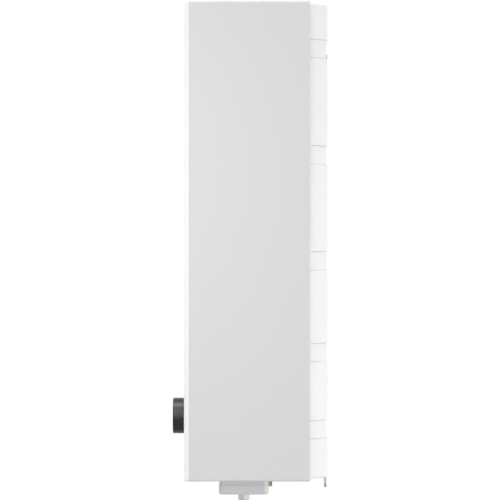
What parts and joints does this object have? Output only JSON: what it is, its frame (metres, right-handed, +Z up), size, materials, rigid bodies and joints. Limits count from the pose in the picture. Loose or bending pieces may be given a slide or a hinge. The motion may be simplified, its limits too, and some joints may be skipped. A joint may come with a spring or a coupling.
{
  "type": "electric storage water heater",
  "caption": "Flat wall-hung electric storage water heater: slim steel casing, ribbed rear shell, front dial knob, pipe stubs, cable gland and service cover underneath, hung on a rear bracket.",
  "frame": {"origin": "centre of the hanging bracket's back face, on the wall plane", "axes": "+Z up, +Y into the wall, so the front faces -Y; +X to the right as seen from the front"},
  "size_m": [0.4356, 0.289, 0.9207],
  "materials": {
    "side_enamel": "smooth powder coat on sheet steel, satin, very pale grey",
    "front_enamel": "glossy white baked enamel on sheet steel",
    "rear_plastic": "white pressed shell, matt with a fine grain",
    "foam": "closed-cell moulded foam, off-white",
    "tank_steel": "bare drawn steel outside, enamel inside",
    "seal_rubber": "black moulded rubber",
    "brass": "turned brass, dull and slightly grey",
    "element_steel": "drawn stainless tube",
    "anode_magnesium": "cast light metal, matt",
    "red_plastic": "red moulded plastic",
    "blue_plastic": "blue moulded plastic",
    "pale_plastic": "natural pale moulded plastic",
    "zinc_steel": "zinc-plated steel",
    "knob_plastic": "black moulded plastic with a satin gloss",
    "mark_plastic": "white inlay",
    "trim_plastic": "silver-grey satin trim with printed figures",
    "dark_plastic": "dark heat-proof moulding",
    "lens_plastic": "clear red lens",
    "cover_plastic": "pale grey moulding with a fine grain",
    "gland_plastic": "pale grey nylon"
  },
  "bodies": {
    "heater": {"casing_band": "side_enamel", "front_panel": "front_enamel", "rear_shell": "rear_plastic", "insulation_front": "foam", "insulation_rear": "foam", "tank_right": "tank_steel", "tank_left": "tank_steel", "flange_gasket_right": "seal_rubber", "flange_gasket_left": "seal_rubber", "element_flange_right": "brass", "element_flange_left": "brass", "heating_element_right": "element_steel", "heating_element_left": "element_steel", "sensor_well_right": "element_steel", "sensor_well_left": "element_steel", "anode_rod_right": "anode_magnesium", "anode_rod_left": "anode_magnesium", "element_lead_right": "red_plastic", "element_lead_left": "blue_plastic", "cold_nipple": "brass", "hot_nipple": "brass", "cold_ring": "blue_plastic", "hot_ring": "red_plastic", "inlet_diffuser": "pale_plastic", "hot_riser": "element_steel", "crossover_pipe": "element_steel", "upper_tie_bar": "zinc_steel", "lower_tie_bar": "zinc_steel", "upper_bolt_right": "zinc_steel", "upper_bolt_left": "zinc_steel", "lower_bolt_right": "zinc_steel", "lower_bolt_left": "zinc_steel", "upper_bracket": "zinc_steel", "lower_bracket": "zinc_steel", "dial_ring": "trim_plastic", "control_body": "dark_plastic", "control_screw_upper": "zinc_steel", "control_screw_lower": "zinc_steel", "indicator_lens": "lens_plastic", "indicator_lamp": "mark_plastic", "service_cover": "cover_plastic", "cover_screw_rear_right": "zinc_steel", "cover_screw_front_right": "zinc_steel", "cover_screw_rear_left": "zinc_steel", "cover_screw_front_left": "zinc_steel", "terminal_block": "pale_plastic", "thermal_cutout": "dark_plastic", "gland_body": "gland_plastic", "gland_locknut": "gland_plastic", "gland_nut": "gland_plastic", "gland_seal": "seal_rubber"},
    "dial_knob": {"knob": "knob_plastic", "knob_pointer": "mark_plastic", "knob_spindle": "zinc_steel"},
    "reset_plunger": {"reset_button": "red_plastic"}
  },
  "joints": [
    {"name": "knob_turn", "type": "hinge", "parent": "heater", "child": "dial_knob", "pos_m": [0, -0.26, -0.6475], "axis": [0, 1, 0], "range_deg": [-135, 135]},
    {"name": "reset_press", "type": "slide", "parent": "heater", "child": "reset_plunger", "axis": [0, 0, 1], "range_m": [0, 0.0015], "stiffness_N_per_m": 1500, "springref_m": -0.0005}
  ]
}
